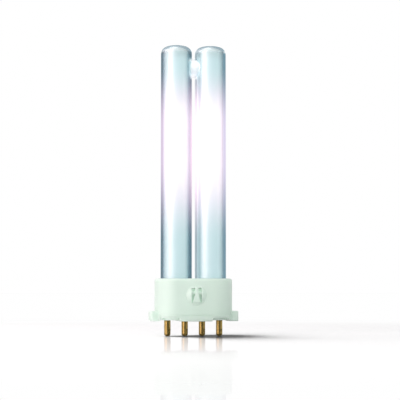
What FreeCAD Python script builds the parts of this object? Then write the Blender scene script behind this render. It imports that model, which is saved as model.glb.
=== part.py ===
"""Four pin compact fluorescent lamp: two joined glass limbs cemented in a moulded base with pins in line.

The frame's origin is the middle of the seating face under the base, on the row of pins. +Z runs up the
limbs, +X along the row of pins, and the front of the base faces -Y. All sizes are in millimetres.
"""

import FreeCAD, Part
import math
import os
import re
import sys

import Sketcher

SIZES = {
    # Glass
    "limb_diameter": 12.5,
    "limb_gap": 1.4,
    "lamp_height": 111.4,
    "dome_crown_radius": 14.4,
    "dome_knuckle_radius": 3.0,
    "bridge_below_top": 9.25,
    "bridge_diameter": 7.4,
    "bridge_fillet": 0.6,
    "limb_foot_height": 7.0,
    "foot_rounding": 1.0,
    "foot_rim_width": 1.45,
    "stem_recess_depth": 3.4,
    "stem_neck_gap": 0.6,
    "exhaust_diameter": 3.0,
    "exhaust_drop": 1.4,
    # Base housing
    "housing_wall": 1.6,
    "housing_top": 2.0,
    "base_height": 17.0,
    "side_flat": 1.4,
    "top_rounding": 1.0,
    "opening_clearance": 0.15,
    "cement_thickness": 0.45,
    "cement_length": 4.0,
    "cavity_side_margin": 0.3,
    "cavity_front_margin": 0.8,
    "lug_reach": 2.2,
    "lug_depth": 9.0,
    "lug_height": 4.0,
    "lug_rounding": 1.2,
    "edge_rounding": 0.3,
    # Latch
    "boss_diameter": 8.2,
    "boss_crown_diameter": 5.0,
    "boss_relief": 0.8,
    "boss_below_top": 6.7,
    "slot_height": 5.8,
    "slot_width": 1.45,
    "slot_foot_width": 0.5,
    "slot_middle_bar": 1.2,
    "slot_cross_bar": 0.5,
    "slot_cross_bar_rise": 0.85,
    "arm_thickness": 1.2,
    "arm_margin": 0.3,
    "barb_reach": 1.5,
    "barb_height": 1.6,
    "barb_play": 0.05,
    # Bottom cover
    "seam_gap": 0.1,
    "lip_height": 2.4,
    "plateau_half_width": 6.5,
    "plateau_height": 0.45,
    "scoop_height": 1.4,
    "scoop_depth": 1.2,
    "scoop_end_margin": 0.3,
    "spigot_height": 3.0,
    "spigot_wall": 1.0,
    "pin_boss_height": 1.4,
    "pin_boss_wall": 1.0,
    "pin_relief_gap": 1.1,
    # Contact pins
    "pin_pitch": 7.0,
    "pin_diameter": 2.6,
    "pin_length": 6.0,
    "pin_tip_rounding": 0.9,
    "pin_tip_thickness": 0.9,
    "pin_bore_diameter": 1.5,
    "pin_shank_diameter": 3.0,
    "pin_flange_overhang": 0.5,
    "pin_flange_thickness": 0.6,
    "crimp_above_tip": 2.1,
    "crimp_radius": 0.9,
    "crimp_depth": 0.35,
    "crimp_seat_radius": 0.45,
    # Lead wires
    "wire_diameter": 0.6,
    "wire_stem_gap": 0.4,
    "wire_bend_radius": 0.9,
    "wire_end_gap": 0.5,
}

# Sizes that follow from the driving ones, each written with the names above it
DERIVED = {
    "limb_radius": "limb_diameter / 2",
    "limb_axis_x": "(limb_diameter + limb_gap) / 2",
    "bridge_z": "lamp_height - bridge_below_top",
    "wire_stem_x": "(exhaust_diameter + wire_diameter) / 2 + wire_stem_gap",
    "stem_neck_radius": "wire_stem_x + wire_diameter / 2 + stem_neck_gap",
    "stem_mouth_radius": "limb_radius - foot_rim_width",
    "stem_top_z": "limb_foot_height + stem_recess_depth",
    "pin_flange_radius": "pin_shank_diameter / 2 + pin_flange_overhang",
    "pin_seat_z": "lip_height + pin_boss_height",
    "cavity_for_limbs": "limb_axis_x + limb_radius + cement_thickness + cavity_side_margin",
    "cavity_for_pins": "1.5 * pin_pitch + pin_flange_radius + spigot_wall + 2 * seam_gap",
    "cavity_half_width": "max(cavity_for_limbs; cavity_for_pins)",
    "cavity_half_depth": "limb_radius + cement_thickness + cavity_front_margin",
    "base_half_width": "cavity_half_width + housing_wall",
    "base_half_depth": "cavity_half_depth + housing_wall",
    "base_corner_radius": "base_half_depth - side_flat / 2",
    "corner_x": "base_half_width - base_corner_radius",
    "corner_y": "side_flat / 2",
    "cavity_corner_radius": "base_corner_radius - housing_wall",
    "cavity_top_z": "base_height - housing_top",
    "notch_height": "lip_height + seam_gap",
    "cover_half_width": "cavity_half_width - seam_gap",
    "cover_half_depth": "cavity_half_depth - seam_gap",
    "boss_z": "base_height - boss_below_top",
    "slot_top_z": "boss_z + slot_height / 2",
    "slot_bottom_z": "boss_z - slot_height / 2",
    "cross_bar_bottom_z": "boss_z + slot_cross_bar_rise - slot_cross_bar / 2",
    "cross_bar_top_z": "boss_z + slot_cross_bar_rise + slot_cross_bar / 2",
    "slot_inner_x": "slot_middle_bar / 2",
    "slot_outer_x": "slot_middle_bar / 2 + slot_width",
    "barb_bottom_z": "cross_bar_top_z + barb_play",
    "barb_outer_x": "slot_outer_x - seam_gap",
    "barb_inner_x": "slot_inner_x + seam_gap",
    "arm_half_width": "slot_outer_x + arm_margin",
    "crimp_z": "crimp_above_tip - pin_length",
    "wire_end_z": "pin_tip_thickness + wire_end_gap - pin_length",
    "wire_bend_low_z": "pin_seat_z + pin_flange_thickness",
    "wire_bend_high_z": "limb_foot_height",
}

PIN_COUNT = 4
CRIMP_DEGREES = -45
ORIGIN = -1
START = 1
END = 2
CENTRE = 3
UP = FreeCAD.Vector(0, 0, 1)

document = FreeCAD.newDocument("four_pin_lamp")
sheet = document.addObject("Spreadsheet::Sheet", "Sizes")
for row, (alias, size) in enumerate(SIZES.items(), start=1):
    sheet.set(f"A{row}", alias)
    sheet.set(f"B{row}", str(size))
    sheet.setAlias(f"B{row}", alias)
document.recompute()


def bound(expression):
    """The expression with derived names written out and every driving name read from the sheet."""
    text = str(expression)

    def expand(match):
        word = match.group(0)
        if word in DERIVED:
            return f"({bound(DERIVED[word])})"
        if word in SIZES:
            return f"Sizes.{word}"
        return word

    return re.sub(r"[A-Za-z_]+", expand, text)


def number(expression):
    """The present value of an expression."""
    return float(sheet.evalExpression(bound(expression)))


def new_body(label, x="0"):
    """An empty body with its own label, placed along the row of pins."""
    body = document.addObject("PartDesign::Body", label)
    body.Label = label
    body.setExpression("Placement.Base.x", bound(x))
    return body


def origin_plane(body, role):
    return next(item for item in body.Origin.OriginFeatures if item.Role == role)


def sketch_on(body, role, name, shift="0", across="0", up="0", turn=0):
    """A sketch on one of the body's own planes, shifted along the normal and within the plane.

    A turn, in degrees, is about the plane's own upward axis.
    """
    sketch = body.newObject("Sketcher::SketchObject", name)
    sketch.AttachmentSupport = [(origin_plane(body, role), "")]
    sketch.MapMode = "FlatFace"
    sketch.AttachmentOffset = FreeCAD.Placement(
        FreeCAD.Vector(), FreeCAD.Rotation(FreeCAD.Vector(0, 1, 0), turn)
    )
    sketch.setExpression("AttachmentOffset.Base.x", bound(across))
    sketch.setExpression("AttachmentOffset.Base.y", bound(up))
    sketch.setExpression("AttachmentOffset.Base.z", bound(shift))
    return sketch


def drive(sketch, kind, *items_and_expression):
    """Adds one dimension whose value is an expression of the sheet's sizes."""
    *items, expression = items_and_expression
    index = sketch.addConstraint(Sketcher.Constraint(kind, *items, number(expression)))
    name = f"size_{index}"
    sketch.renameConstraint(index, name)
    sketch.setExpression(f"Constraints.{name}", bound(expression))


def relate(sketch, kind, *items):
    sketch.addConstraint(Sketcher.Constraint(kind, *items))


def fix_point(sketch, geometry, end, x, y):
    """Dimensions one point from the sketch's origin."""
    drive(sketch, "DistanceX", ORIGIN, 1, geometry, end, x)
    drive(sketch, "DistanceY", ORIGIN, 1, geometry, end, y)


def vector(x, y):
    return FreeCAD.Vector(x, y, 0)


def circle(sketch, x, y, radius):
    middle = vector(number(x), number(y))
    index = sketch.addGeometry(Part.Circle(middle, UP, number(radius)))
    fix_point(sketch, index, CENTRE, x, y)
    drive(sketch, "Radius", index, radius)


def polygon(sketch, corners):
    """A closed outline of straight sides through corners given as pairs of expressions."""
    points = [vector(number(x), number(y)) for x, y in corners]
    count = len(points)
    first = None
    for step in range(count):
        side = Part.LineSegment(points[step], points[(step + 1) % count])
        index = sketch.addGeometry(side)
        first = index if first is None else first
        fix_point(sketch, index, START, *corners[step])
    for step in range(count):
        relate(sketch, "Coincident", first + step, END, first + (step + 1) % count, START)


def rectangle(sketch, low_x, high_x, low_y, high_y):
    polygon(sketch, [(low_x, low_y), (high_x, low_y), (high_x, high_y), (low_x, high_y)])


def rounded_rectangle(sketch, half_width, half_depth, radius):
    """A rectangle about the sketch's origin, with four equal round corners."""
    width = number(half_width)
    depth = number(half_depth)
    corner = number(radius)
    flat_x = width - corner
    flat_y = depth - corner
    sides = [
        (vector(-flat_x, -depth), vector(flat_x, -depth)),
        (vector(width, -flat_y), vector(width, flat_y)),
        (vector(flat_x, depth), vector(-flat_x, depth)),
        (vector(-width, flat_y), vector(-width, -flat_y)),
    ]
    corners = [(flat_x, -flat_y), (flat_x, flat_y), (-flat_x, flat_y), (-flat_x, -flat_y)]
    lines = [sketch.addGeometry(Part.LineSegment(*side)) for side in sides]
    arcs = []
    for quarter, (x, y) in enumerate(corners):
        start = math.pi / 2 * (quarter - 1)
        arc = Part.ArcOfCircle(Part.Circle(vector(x, y), UP, corner), start, start + math.pi / 2)
        arcs.append(sketch.addGeometry(arc))
    for step in range(4):
        relate(sketch, "Tangent", lines[step], END, arcs[step], START)
        relate(sketch, "Tangent", arcs[step], END, lines[(step + 1) % 4], START)
    for arc in arcs[1:]:
        relate(sketch, "Equal", arcs[0], arc)
    relate(sketch, "Horizontal", lines[0])
    relate(sketch, "Vertical", lines[1])
    relate(sketch, "Horizontal", lines[2])
    relate(sketch, "Vertical", lines[3])
    drive(sketch, "Radius", arcs[0], radius)
    drive(sketch, "DistanceY", ORIGIN, 1, lines[0], START, f"-({half_depth})")
    drive(sketch, "DistanceX", ORIGIN, 1, lines[1], START, half_width)
    drive(sketch, "DistanceY", ORIGIN, 1, lines[2], START, half_depth)
    drive(sketch, "DistanceX", ORIGIN, 1, lines[3], START, f"-({half_width})")


def pad(body, sketch, name, length, midplane=False, back=False):
    feature = body.newObject("PartDesign::Pad", name)
    feature.Profile = sketch
    feature.setExpression("Length", bound(length))
    feature.Midplane = midplane
    feature.Reversed = back
    return feature


def pocket(body, sketch, name, length, back=False):
    """A cut that runs against the sketch's normal, or along it where back is set."""
    feature = body.newObject("PartDesign::Pocket", name)
    feature.Profile = sketch
    feature.setExpression("Length", bound(length))
    feature.Reversed = back
    return feature


def turned(body, sketch, kind, name, axis="V_Axis"):
    feature = body.newObject(f"PartDesign::{kind}", name)
    feature.Profile = sketch
    feature.ReferenceAxis = (sketch, [axis])
    feature.Angle = 360
    return feature


def mirrored(body, originals, name, role):
    """A second set of the features on the other side of one of the body's planes."""
    feature = body.newObject("PartDesign::Mirrored", name)
    feature.Originals = originals
    feature.MirrorPlane = (origin_plane(body, role), [""])
    body.Tip = feature
    return feature


def at_all_corners(body, original, name):
    """Repeats a feature of the front right corner at the other three."""
    feature = body.newObject("PartDesign::MultiTransform", name)
    feature.Originals = [original]
    steps = []
    for role in ("YZ_Plane", "XZ_Plane"):
        step = body.newObject("PartDesign::Mirrored", f"{name}_{role}")
        step.MirrorPlane = (origin_plane(body, role), [""])
        steps.append(step)
    feature.Transformations = steps
    body.Tip = feature
    return feature


def soften(body, base, name, edges, radius):
    feature = body.newObject("PartDesign::Fillet", name)
    feature.Base = (base, edges)
    feature.setExpression("Radius", bound(radius))
    return feature


def edges_where(feature, test):
    """Names of the edges whose bounding box passes the test."""
    names = []
    for count, edge in enumerate(feature.Shape.Edges, start=1):
        if test(edge.BoundBox):
            names.append(f"Edge{count}")
    return names


def limb_profile(sketch):
    """Half of a limb's section: crowned top, rounded foot, and the stem's recess with its exhaust tip."""
    radius = number("limb_radius")
    crown = number("dome_crown_radius")
    knuckle = number("dome_knuckle_radius")
    height = number("lamp_height")
    foot = number("limb_foot_height")
    rounding = number("foot_rounding")
    exhaust = number("exhaust_diameter / 2")
    tip = foot - number("exhaust_drop")
    knuckle_x = radius - knuckle
    knuckle_y = height - crown + math.sqrt((crown - knuckle) ** 2 - knuckle_x**2)
    lean = math.asin(knuckle_x / (crown - knuckle))
    mouth = vector(number("stem_mouth_radius"), foot)
    neck = vector(number("stem_neck_radius"), number("stem_top_z"))
    root = vector(exhaust, number("stem_top_z"))

    def arc(x, y, size, start, end):
        return Part.ArcOfCircle(Part.Circle(vector(x, y), UP, size), start, end)

    dome = sketch.addGeometry(arc(0, height - crown, crown, math.pi / 2 - lean, math.pi / 2))
    shoulder = sketch.addGeometry(arc(knuckle_x, knuckle_y, knuckle, 0, math.pi / 2 - lean))
    wall = sketch.addGeometry(
        Part.LineSegment(vector(radius, knuckle_y), vector(radius, foot + rounding))
    )
    rim = sketch.addGeometry(
        arc(radius - rounding, foot + rounding, rounding, -math.pi / 2, 0)
    )
    sole = sketch.addGeometry(Part.LineSegment(vector(radius - rounding, foot), mouth))
    flare = sketch.addGeometry(Part.LineSegment(mouth, neck))
    press = sketch.addGeometry(Part.LineSegment(neck, root))
    exhaust_wall = sketch.addGeometry(
        Part.LineSegment(root, vector(exhaust, tip + exhaust))
    )
    exhaust_tip = sketch.addGeometry(arc(0, tip + exhaust, exhaust, -math.pi / 2, 0))
    axis = sketch.addGeometry(Part.LineSegment(vector(0, tip), vector(0, height)))

    relate(sketch, "Tangent", dome, START, shoulder, END)
    relate(sketch, "Tangent", shoulder, START, wall, START)
    relate(sketch, "Tangent", wall, END, rim, END)
    relate(sketch, "Tangent", rim, START, sole, START)
    relate(sketch, "Coincident", sole, END, flare, START)
    relate(sketch, "Coincident", flare, END, press, START)
    relate(sketch, "Coincident", press, END, exhaust_wall, START)
    relate(sketch, "Tangent", exhaust_wall, END, exhaust_tip, END)
    relate(sketch, "Coincident", exhaust_tip, START, axis, START)
    relate(sketch, "Coincident", axis, END, dome, END)
    relate(sketch, "Vertical", wall)
    relate(sketch, "Horizontal", sole)
    relate(sketch, "Horizontal", press)
    relate(sketch, "Vertical", exhaust_wall)
    relate(sketch, "PointOnObject", dome, CENTRE, -2)
    relate(sketch, "PointOnObject", dome, END, -2)
    relate(sketch, "PointOnObject", exhaust_tip, START, -2)
    relate(sketch, "PointOnObject", exhaust_tip, CENTRE, -2)
    drive(sketch, "DistanceY", ORIGIN, 1, dome, END, "lamp_height")
    drive(sketch, "Radius", dome, "dome_crown_radius")
    drive(sketch, "Radius", shoulder, "dome_knuckle_radius")
    drive(sketch, "DistanceX", ORIGIN, 1, wall, START, "limb_radius")
    drive(sketch, "Radius", rim, "foot_rounding")
    drive(sketch, "DistanceY", ORIGIN, 1, sole, START, "limb_foot_height")
    drive(sketch, "DistanceX", ORIGIN, 1, flare, START, "stem_mouth_radius")
    drive(sketch, "DistanceX", ORIGIN, 1, press, START, "stem_neck_radius")
    drive(sketch, "DistanceY", ORIGIN, 1, press, START, "stem_top_z")
    drive(sketch, "DistanceX", ORIGIN, 1, exhaust_wall, START, "exhaust_diameter / 2")
    drive(sketch, "DistanceY", ORIGIN, 1, exhaust_tip, START, "limb_foot_height - exhaust_drop")


def make_discharge_tube():
    """Two closed glass limbs, joined near their tops by a short bridge that is blown into both."""
    body = new_body("discharge_tube")
    profile = sketch_on(body, "XZ_Plane", "limb_section", across="limb_axis_x")
    limb_profile(profile)
    limb = turned(body, profile, "Revolution", "right_limb")
    mirrored(body, [limb], "left_limb", "YZ_Plane")
    joint = sketch_on(body, "YZ_Plane", "bridge_section")
    circle(joint, "0", "bridge_z", "bridge_diameter / 2")
    bridge = pad(body, joint, "bridge", "2 * limb_axis_x", midplane=True)
    document.recompute()
    reach = number("limb_axis_x")
    low = number("bridge_z - bridge_diameter")
    high = number("bridge_z + bridge_diameter")
    roots = edges_where(
        bridge,
        lambda box: max(-box.XMin, box.XMax) < reach and box.ZMin > low and box.ZMax < high,
    )
    soften(body, bridge, "bridge_roots", roots, "min(bridge_fillet; 0.45 * limb_gap)")
    return body


def make_base_housing():
    """A moulded cup that opens downwards, with limb openings, side lugs and latch bosses."""
    body = new_body("base_housing")
    plan = sketch_on(body, "XY_Plane", "outer_plan")
    rounded_rectangle(plan, "base_half_width", "base_half_depth", "base_corner_radius")
    block = pad(body, plan, "block", "base_height")
    document.recompute()
    top = number("base_height")
    rim = edges_where(block, lambda box: box.ZMin > top - 0.01)
    soften(body, block, "top_edge", rim, "top_rounding")

    lugs = sketch_on(body, "XY_Plane", "lug_plan")
    reach = "base_half_width + lug_reach"
    rounded_rectangle(lugs, reach, "lug_depth / 2", "lug_rounding")
    lug_block = pad(body, lugs, "side_lugs", "lug_height")
    document.recompute()
    flush = number("base_half_width") + 0.01
    thick = number("lug_height")
    outline = edges_where(
        lug_block,
        lambda box: box.ZLength < 0.01
        and min(abs(box.ZMin), abs(box.ZMin - thick)) < 0.01
        and max(-box.XMin, box.XMax) > flush,
    )
    soften(body, lug_block, "lug_edges", outline, "edge_rounding")

    bosses = sketch_on(body, "YZ_Plane", "boss_section", up="boss_z")
    polygon(
        bosses,
        [
            ("-base_half_depth + housing_wall / 2", "0"),
            ("-base_half_depth - boss_relief", "0"),
            ("-base_half_depth - boss_relief", "boss_crown_diameter / 2"),
            ("-base_half_depth", "boss_diameter / 2"),
            ("-base_half_depth + housing_wall / 2", "boss_diameter / 2"),
        ],
    )
    boss = turned(body, bosses, "Revolution", "front_boss", "H_Axis")
    mirrored(body, [boss], "back_boss", "XZ_Plane")

    inner_plan = sketch_on(body, "XY_Plane", "cavity_plan")
    rounded_rectangle(inner_plan, "cavity_half_width", "cavity_half_depth", "cavity_corner_radius")
    pocket(body, inner_plan, "cavity", "cavity_top_z", back=True)

    limb_holes = sketch_on(body, "XY_Plane", "limb_openings", shift="base_height")
    for side in ("", "-"):
        circle(limb_holes, f"{side}limb_axis_x", "0", "limb_radius + opening_clearance")
    pocket(body, limb_holes, "openings", "2 * housing_top")

    notch = sketch_on(body, "XY_Plane", "cover_notch_plan")
    beyond = "2 * base_half_depth"
    rectangle(notch, "-cavity_half_width", "cavity_half_width", f"-{beyond}", beyond)
    pocket(body, notch, "cover_notch", "notch_height", back=True)

    slots = sketch_on(body, "XZ_Plane", "latch_slots", shift="base_half_depth + 2 * boss_relief")
    for side in ("", "-"):
        inner = f"{side}slot_inner_x"
        outer = f"{side}slot_outer_x"
        foot = f"{side}(slot_outer_x - slot_foot_width)"
        rectangle(slots, inner, outer, "cross_bar_top_z", "slot_top_z")
        polygon(
            slots,
            [
                (foot, "slot_bottom_z"),
                (outer, "slot_bottom_z"),
                (outer, "cross_bar_bottom_z"),
                (inner, "cross_bar_bottom_z"),
            ],
        )
    depth = "3 * boss_relief + housing_wall"
    front = pocket(body, slots, "front_slots", depth)
    mirrored(body, [front], "back_slots", "XZ_Plane")
    return body


def scoop_outline(sketch):
    """The front right scoop in plan: it follows the base's outline, one depth further in, with slanted ends."""
    far = "-2 * base_half_depth"
    end_x = "cover_half_width - scoop_end_margin"
    inner_radius = "base_corner_radius - scoop_depth"
    floor_end_x = f"{end_x} - scoop_depth"
    outline_at_end = f"corner_y + sqrt(base_corner_radius ^ 2 - ({end_x} - corner_x) ^ 2)"
    centre = vector(number("corner_x"), number("-corner_y"))
    sweep = math.acos((number(floor_end_x) - centre.x) / number(inner_radius))
    floor = sketch.addGeometry(
        Part.ArcOfCircle(Part.Circle(centre, UP, number(inner_radius)), -math.pi / 2, -sweep)
    )
    arc = sketch.Geometry[floor]
    corners = [
        (number("plateau_half_width"), number("-base_half_depth")),
        (arc.StartPoint.x, arc.StartPoint.y),
        (arc.EndPoint.x, arc.EndPoint.y),
        (number(end_x), -number(outline_at_end)),
        (number(end_x), number(far)),
        (number("plateau_half_width"), number(far)),
    ]
    points = [vector(*corner) for corner in corners]

    def side(start, end):
        return sketch.addGeometry(Part.LineSegment(points[start], points[end]))

    inner_end, outer_end, right, front, left = side(0, 1), side(2, 3), side(3, 4), side(4, 5), side(5, 0)
    relate(sketch, "Coincident", inner_end, END, floor, START)
    relate(sketch, "Coincident", floor, END, outer_end, START)
    relate(sketch, "Coincident", outer_end, END, right, START)
    relate(sketch, "Coincident", right, END, front, START)
    relate(sketch, "Coincident", front, END, left, START)
    relate(sketch, "Coincident", left, END, inner_end, START)
    relate(sketch, "Vertical", right)
    relate(sketch, "Horizontal", front)
    relate(sketch, "Vertical", left)
    fix_point(sketch, floor, CENTRE, "corner_x", "-corner_y")
    drive(sketch, "Radius", floor, inner_radius)
    drive(sketch, "DistanceX", ORIGIN, 1, floor, START, "corner_x")
    drive(sketch, "DistanceX", ORIGIN, 1, floor, END, floor_end_x)
    fix_point(sketch, inner_end, START, "plateau_half_width", "-base_half_depth")
    fix_point(sketch, outer_end, END, end_x, f"-({outline_at_end})")
    drive(sketch, "DistanceY", ORIGIN, 1, front, START, far)


def make_bottom_cover():
    """The plate that closes the cup: lips flush with the cup's faces, a spigot inside and two latch arms."""
    body = new_body("bottom_cover")
    beyond = "2 * base_half_depth"
    plan = sketch_on(body, "XY_Plane", "lip_plan", shift="plateau_height")
    rounded_rectangle(plan, "base_half_width", "base_half_depth", "base_corner_radius")
    pad(body, plan, "plate", "lip_height - plateau_height")
    ends = sketch_on(body, "XY_Plane", "end_cuts")
    for side in ("", "-"):
        far = f"{side}2 * base_half_width"
        rectangle(ends, f"{side}cover_half_width", far, f"-{beyond}", beyond)
    pocket(body, ends, "trimmed_ends", "lip_height", back=True)

    middle = sketch_on(body, "XY_Plane", "plateau_plan")
    rectangle(
        middle, "-plateau_half_width", "plateau_half_width", "-base_half_depth", "base_half_depth"
    )
    plateau = pad(body, middle, "plateau", "lip_height")
    document.recompute()
    lowest = edges_where(plateau, lambda box: box.ZMax < 0.01)
    plateau = soften(body, plateau, "plateau_edges", lowest, "edge_rounding")

    scoop = sketch_on(body, "XY_Plane", "scoop_plan", shift="plateau_height")
    scoop_outline(scoop)
    height = "scoop_height - plateau_height"
    corner = pocket(body, scoop, "front_right_scoop", height, back=True)
    at_all_corners(body, corner, "scoops")

    outer = sketch_on(body, "XY_Plane", "spigot_plan", shift="lip_height")
    rounded_rectangle(
        outer, "cover_half_width", "cover_half_depth", "cavity_corner_radius - seam_gap"
    )
    rounded_rectangle(
        outer,
        "cover_half_width - spigot_wall",
        "cover_half_depth - spigot_wall",
        "cavity_corner_radius - seam_gap - spigot_wall",
    )
    pad(body, outer, "spigot", "spigot_height")

    bosses = sketch_on(body, "XY_Plane", "pin_boss_plan", shift="lip_height")
    for pin in range(PIN_COUNT):
        x = f"{pin - (PIN_COUNT - 1) / 2} * pin_pitch"
        circle(bosses, x, "0", "pin_shank_diameter / 2 + pin_boss_wall")
    pad(body, bosses, "pin_bosses", "pin_boss_height")

    reliefs = sketch_on(body, "XY_Plane", "pin_relief_plan")
    for side in ("", "-"):
        circle(reliefs, f"{side}pin_pitch / 2", "0", "pin_diameter / 2 + pin_relief_gap")
    pocket(body, reliefs, "pin_reliefs", "plateau_height", back=True)

    holes = sketch_on(body, "XY_Plane", "pin_hole_plan")
    for pin in range(PIN_COUNT):
        x = f"{pin - (PIN_COUNT - 1) / 2} * pin_pitch"
        circle(holes, x, "0", "pin_shank_diameter / 2")
    pocket(body, holes, "pin_holes", "2 * pin_seat_z", back=True)

    arm_plan = sketch_on(body, "XY_Plane", "arm_plan", shift="lip_height")
    arm_face = "-cover_half_depth"
    rectangle(
        arm_plan, "-arm_half_width", "arm_half_width", arm_face, f"{arm_face} + arm_thickness"
    )
    arm = pad(body, arm_plan, "front_arm", "barb_bottom_z + barb_height - lip_height")
    hook = sketch_on(body, "YZ_Plane", "barb_section")
    root = f"{arm_face} + arm_thickness / 2"
    tip = f"{arm_face} - barb_reach"
    polygon(
        hook,
        [
            (root, "barb_bottom_z"),
            (tip, "barb_bottom_z"),
            (tip, "barb_bottom_z + barb_height / 3"),
            (arm_face, "barb_bottom_z + barb_height"),
            (root, "barb_bottom_z + barb_height"),
        ],
    )
    barbs = pad(body, hook, "front_barbs", "2 * barb_outer_x", midplane=True)
    split = sketch_on(body, "XZ_Plane", "barb_split", shift="cover_half_depth + 2 * barb_reach")
    rectangle(
        split,
        "-barb_inner_x",
        "barb_inner_x",
        "barb_bottom_z - barb_height",
        "barb_bottom_z + 2 * barb_height",
    )
    between = pocket(body, split, "between_barbs", "2 * barb_reach")
    mirrored(body, [arm, barbs, between], "back_latch", "XZ_Plane")
    return body


def make_limb_cement(label, side):
    """The ring of cement between a limb and the cup, under the cup's top wall."""
    body = new_body(label, f"{side}limb_axis_x")
    ring = sketch_on(body, "XY_Plane", "ring", shift="cavity_top_z")
    circle(ring, "0", "0", "limb_radius + cement_thickness")
    circle(ring, "0", "0", "limb_radius")
    pad(body, ring, "cement", "cement_length", back=True)
    return body


def make_contact_pin(label, x):
    """A hollow drawn pin with a rounded tip, a shank and flange for its seat and two crimp dimples."""
    body = new_body(label, x)
    section = sketch_on(body, "XZ_Plane", "section")
    bore = "pin_bore_diameter / 2"
    outer = "pin_diameter / 2"
    shank = "pin_shank_diameter / 2"
    tip = "-pin_length"
    top = "pin_seat_z + pin_flange_thickness"
    polygon(
        section,
        [
            ("0", tip),
            (outer, tip),
            (outer, "plateau_height"),
            (shank, "plateau_height"),
            (shank, "pin_seat_z"),
            ("pin_flange_radius", "pin_seat_z"),
            ("pin_flange_radius", top),
            (bore, top),
            (bore, f"{tip} + pin_tip_thickness"),
            ("0", f"{tip} + pin_tip_thickness"),
        ],
    )
    drawn = turned(body, section, "Revolution", "drawn_pin")
    document.recompute()
    lowest = number(tip)
    tip_edge = edges_where(drawn, lambda box: box.ZMax < lowest + 0.01 and box.XLength > 0.1)
    soften(body, drawn, "round_tip", tip_edge, f"min(pin_tip_rounding; 0.8 * {outer})")

    seat = sketch_on(body, "XZ_Plane", "crimp_seat", up="crimp_z", turn=CRIMP_DEGREES)
    seat_root = f"({bore} + {outer}) / 2"
    polygon(
        seat,
        [
            ("wire_diameter / 2", "0"),
            (seat_root, "0"),
            (seat_root, "2 * crimp_seat_radius"),
            ("wire_diameter / 2", "crimp_seat_radius"),
        ],
    )
    seat_turn = turned(body, seat, "Revolution", "inner_seat", "H_Axis")
    punch = sketch_on(body, "XZ_Plane", "crimp_punch", up="crimp_z", turn=CRIMP_DEGREES)
    near = number(f"{outer} - crimp_depth")
    ball = number("crimp_radius")
    middle = vector(near + ball, 0)
    arc = punch.addGeometry(Part.ArcOfCircle(Part.Circle(middle, UP, ball), 0, math.pi))
    chord = punch.addGeometry(
        Part.LineSegment(vector(near, 0), vector(near + 2 * ball, 0))
    )
    relate(punch, "Coincident", arc, START, chord, END)
    relate(punch, "Coincident", arc, END, chord, START)
    relate(punch, "PointOnObject", arc, CENTRE, chord)
    relate(punch, "PointOnObject", chord, START, -1)
    relate(punch, "PointOnObject", chord, END, -1)
    drive(punch, "Radius", arc, "crimp_radius")
    drive(punch, "DistanceX", ORIGIN, 1, arc, CENTRE, f"{outer} - crimp_depth + crimp_radius")
    dimple = turned(body, punch, "Groove", "dimple", "H_Axis")
    ring = body.newObject("PartDesign::PolarPattern", "crimp_pair")
    ring.Originals = [seat_turn, dimple]
    ring.Axis = (section, ["V_Axis"])
    ring.Angle = 360
    ring.Occurrences = 2
    body.Tip = ring
    return body


def make_lead_wire(label, x, stem_x):
    """A wire from the stem's press that bends over into the bore of its pin."""
    body = new_body(label, x)
    route = sketch_on(body, "XZ_Plane", "route")
    offset = f"({stem_x}) - ({x})"
    shift = number(offset)
    side = math.copysign(1, shift)
    bend = number("wire_bend_radius")
    low = number("wire_bend_low_z")
    high = number("wire_bend_high_z")
    end = number("wire_end_z")
    top = number("stem_top_z")
    span = math.hypot(abs(shift) - 2 * bend, high - low)
    lean = math.atan2(abs(shift) - 2 * bend, high - low) + math.asin(2 * bend / span)
    first_middle = vector(side * bend, low)
    second_middle = vector(shift - side * bend, high)
    turn_x = bend * (1 - math.cos(lean))
    turn_z = bend * math.sin(lean)

    def arc(middle, start, finish):
        return Part.ArcOfCircle(Part.Circle(middle, UP, bend), min(start, finish), max(start, finish))

    lower = route.addGeometry(Part.LineSegment(vector(0, end), vector(0, low)))
    if side > 0:
        first = route.addGeometry(arc(first_middle, math.pi, math.pi - lean))
        second = route.addGeometry(arc(second_middle, 0, -lean))
    else:
        first = route.addGeometry(arc(first_middle, 0, lean))
        second = route.addGeometry(arc(second_middle, math.pi, math.pi + lean))
    slant = route.addGeometry(
        Part.LineSegment(
            vector(side * turn_x, low + turn_z), vector(shift - side * turn_x, high - turn_z)
        )
    )
    upper = route.addGeometry(Part.LineSegment(vector(shift, high), vector(shift, top)))
    first_in, first_out = (END, START) if side > 0 else (START, END)
    second_in, second_out = (START, END) if side > 0 else (END, START)
    relate(route, "Tangent", lower, END, first, first_in)
    relate(route, "Tangent", first, first_out, slant, START)
    relate(route, "Tangent", slant, END, second, second_in)
    relate(route, "Tangent", second, second_out, upper, START)
    relate(route, "Vertical", lower)
    relate(route, "Vertical", upper)
    relate(route, "Equal", first, second)
    drive(route, "Radius", first, "wire_bend_radius")
    fix_point(route, lower, START, "0", "wire_end_z")
    drive(route, "DistanceY", ORIGIN, 1, lower, END, "wire_bend_low_z")
    drive(route, "DistanceY", ORIGIN, 1, upper, START, "wire_bend_high_z")
    fix_point(route, upper, END, offset, "stem_top_z")

    section = sketch_on(body, "XY_Plane", "wire_section", shift="wire_end_z")
    circle(section, "0", "0", "wire_diameter / 2")
    wire = body.newObject("PartDesign::AdditivePipe", "wire")
    wire.Profile = section
    wire.Spine = route
    return body


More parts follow.
